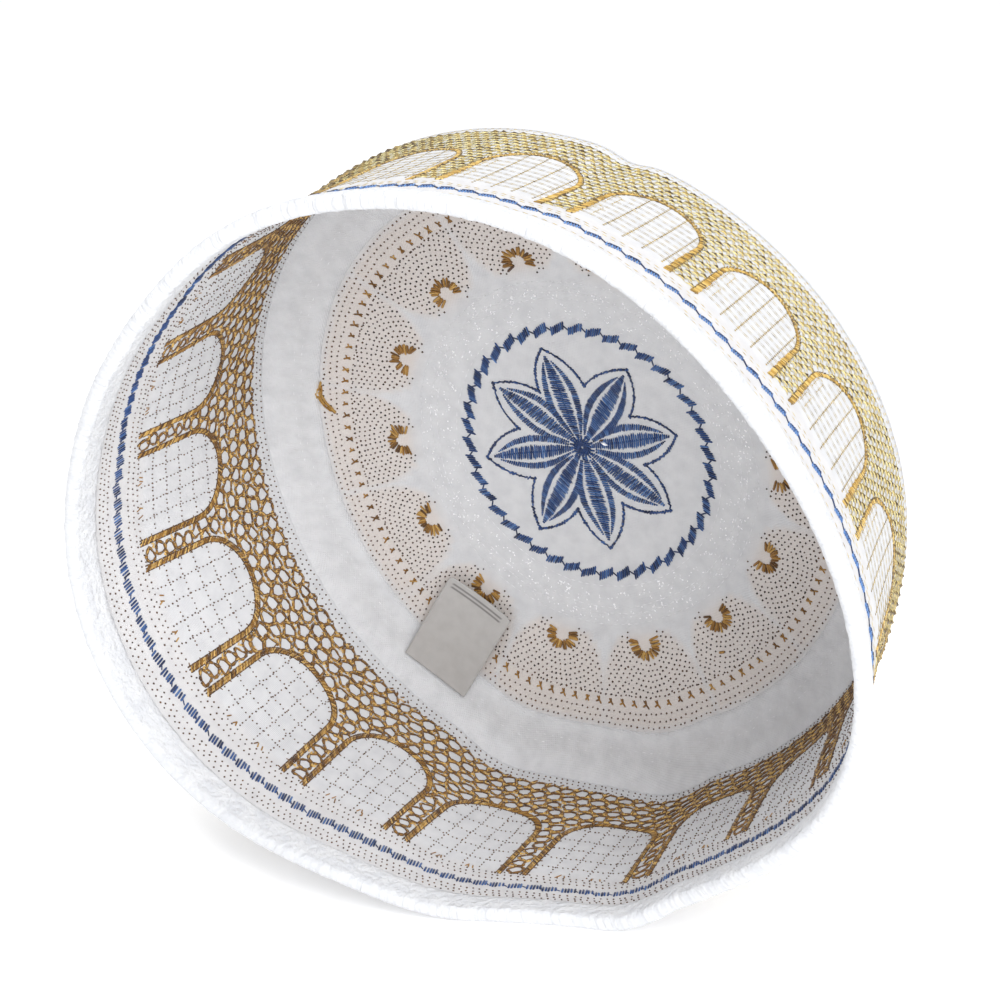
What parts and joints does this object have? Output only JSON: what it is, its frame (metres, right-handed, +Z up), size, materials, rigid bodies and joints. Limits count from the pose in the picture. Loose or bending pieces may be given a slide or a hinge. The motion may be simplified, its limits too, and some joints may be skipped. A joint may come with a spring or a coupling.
{
  "type": "embroidered round cap",
  "caption": "White embroidered round cap lying on its side, with a gold net arcade, a blue flower inside the crown and a plush rim.",
  "frame": {"origin": "bottom centre of the whole cap's bounding box, on the surface it lies on", "axes": "+Z up, +X across the opening, +Y from the opening towards the crown"},
  "size_m": [0.2056, 0.0962, 0.1755],
  "materials": {
    "cap_cotton": "matte",
    "plush": "fuzzy",
    "lining_cotton": "matte",
    "satin": "satin"
  },
  "bodies": {
    "root": {"band": "cap_cotton", "crown": "cap_cotton", "rim_binding": "plush", "seam_tape": "lining_cotton", "label": "satin"}
  },
  "joints": []
}
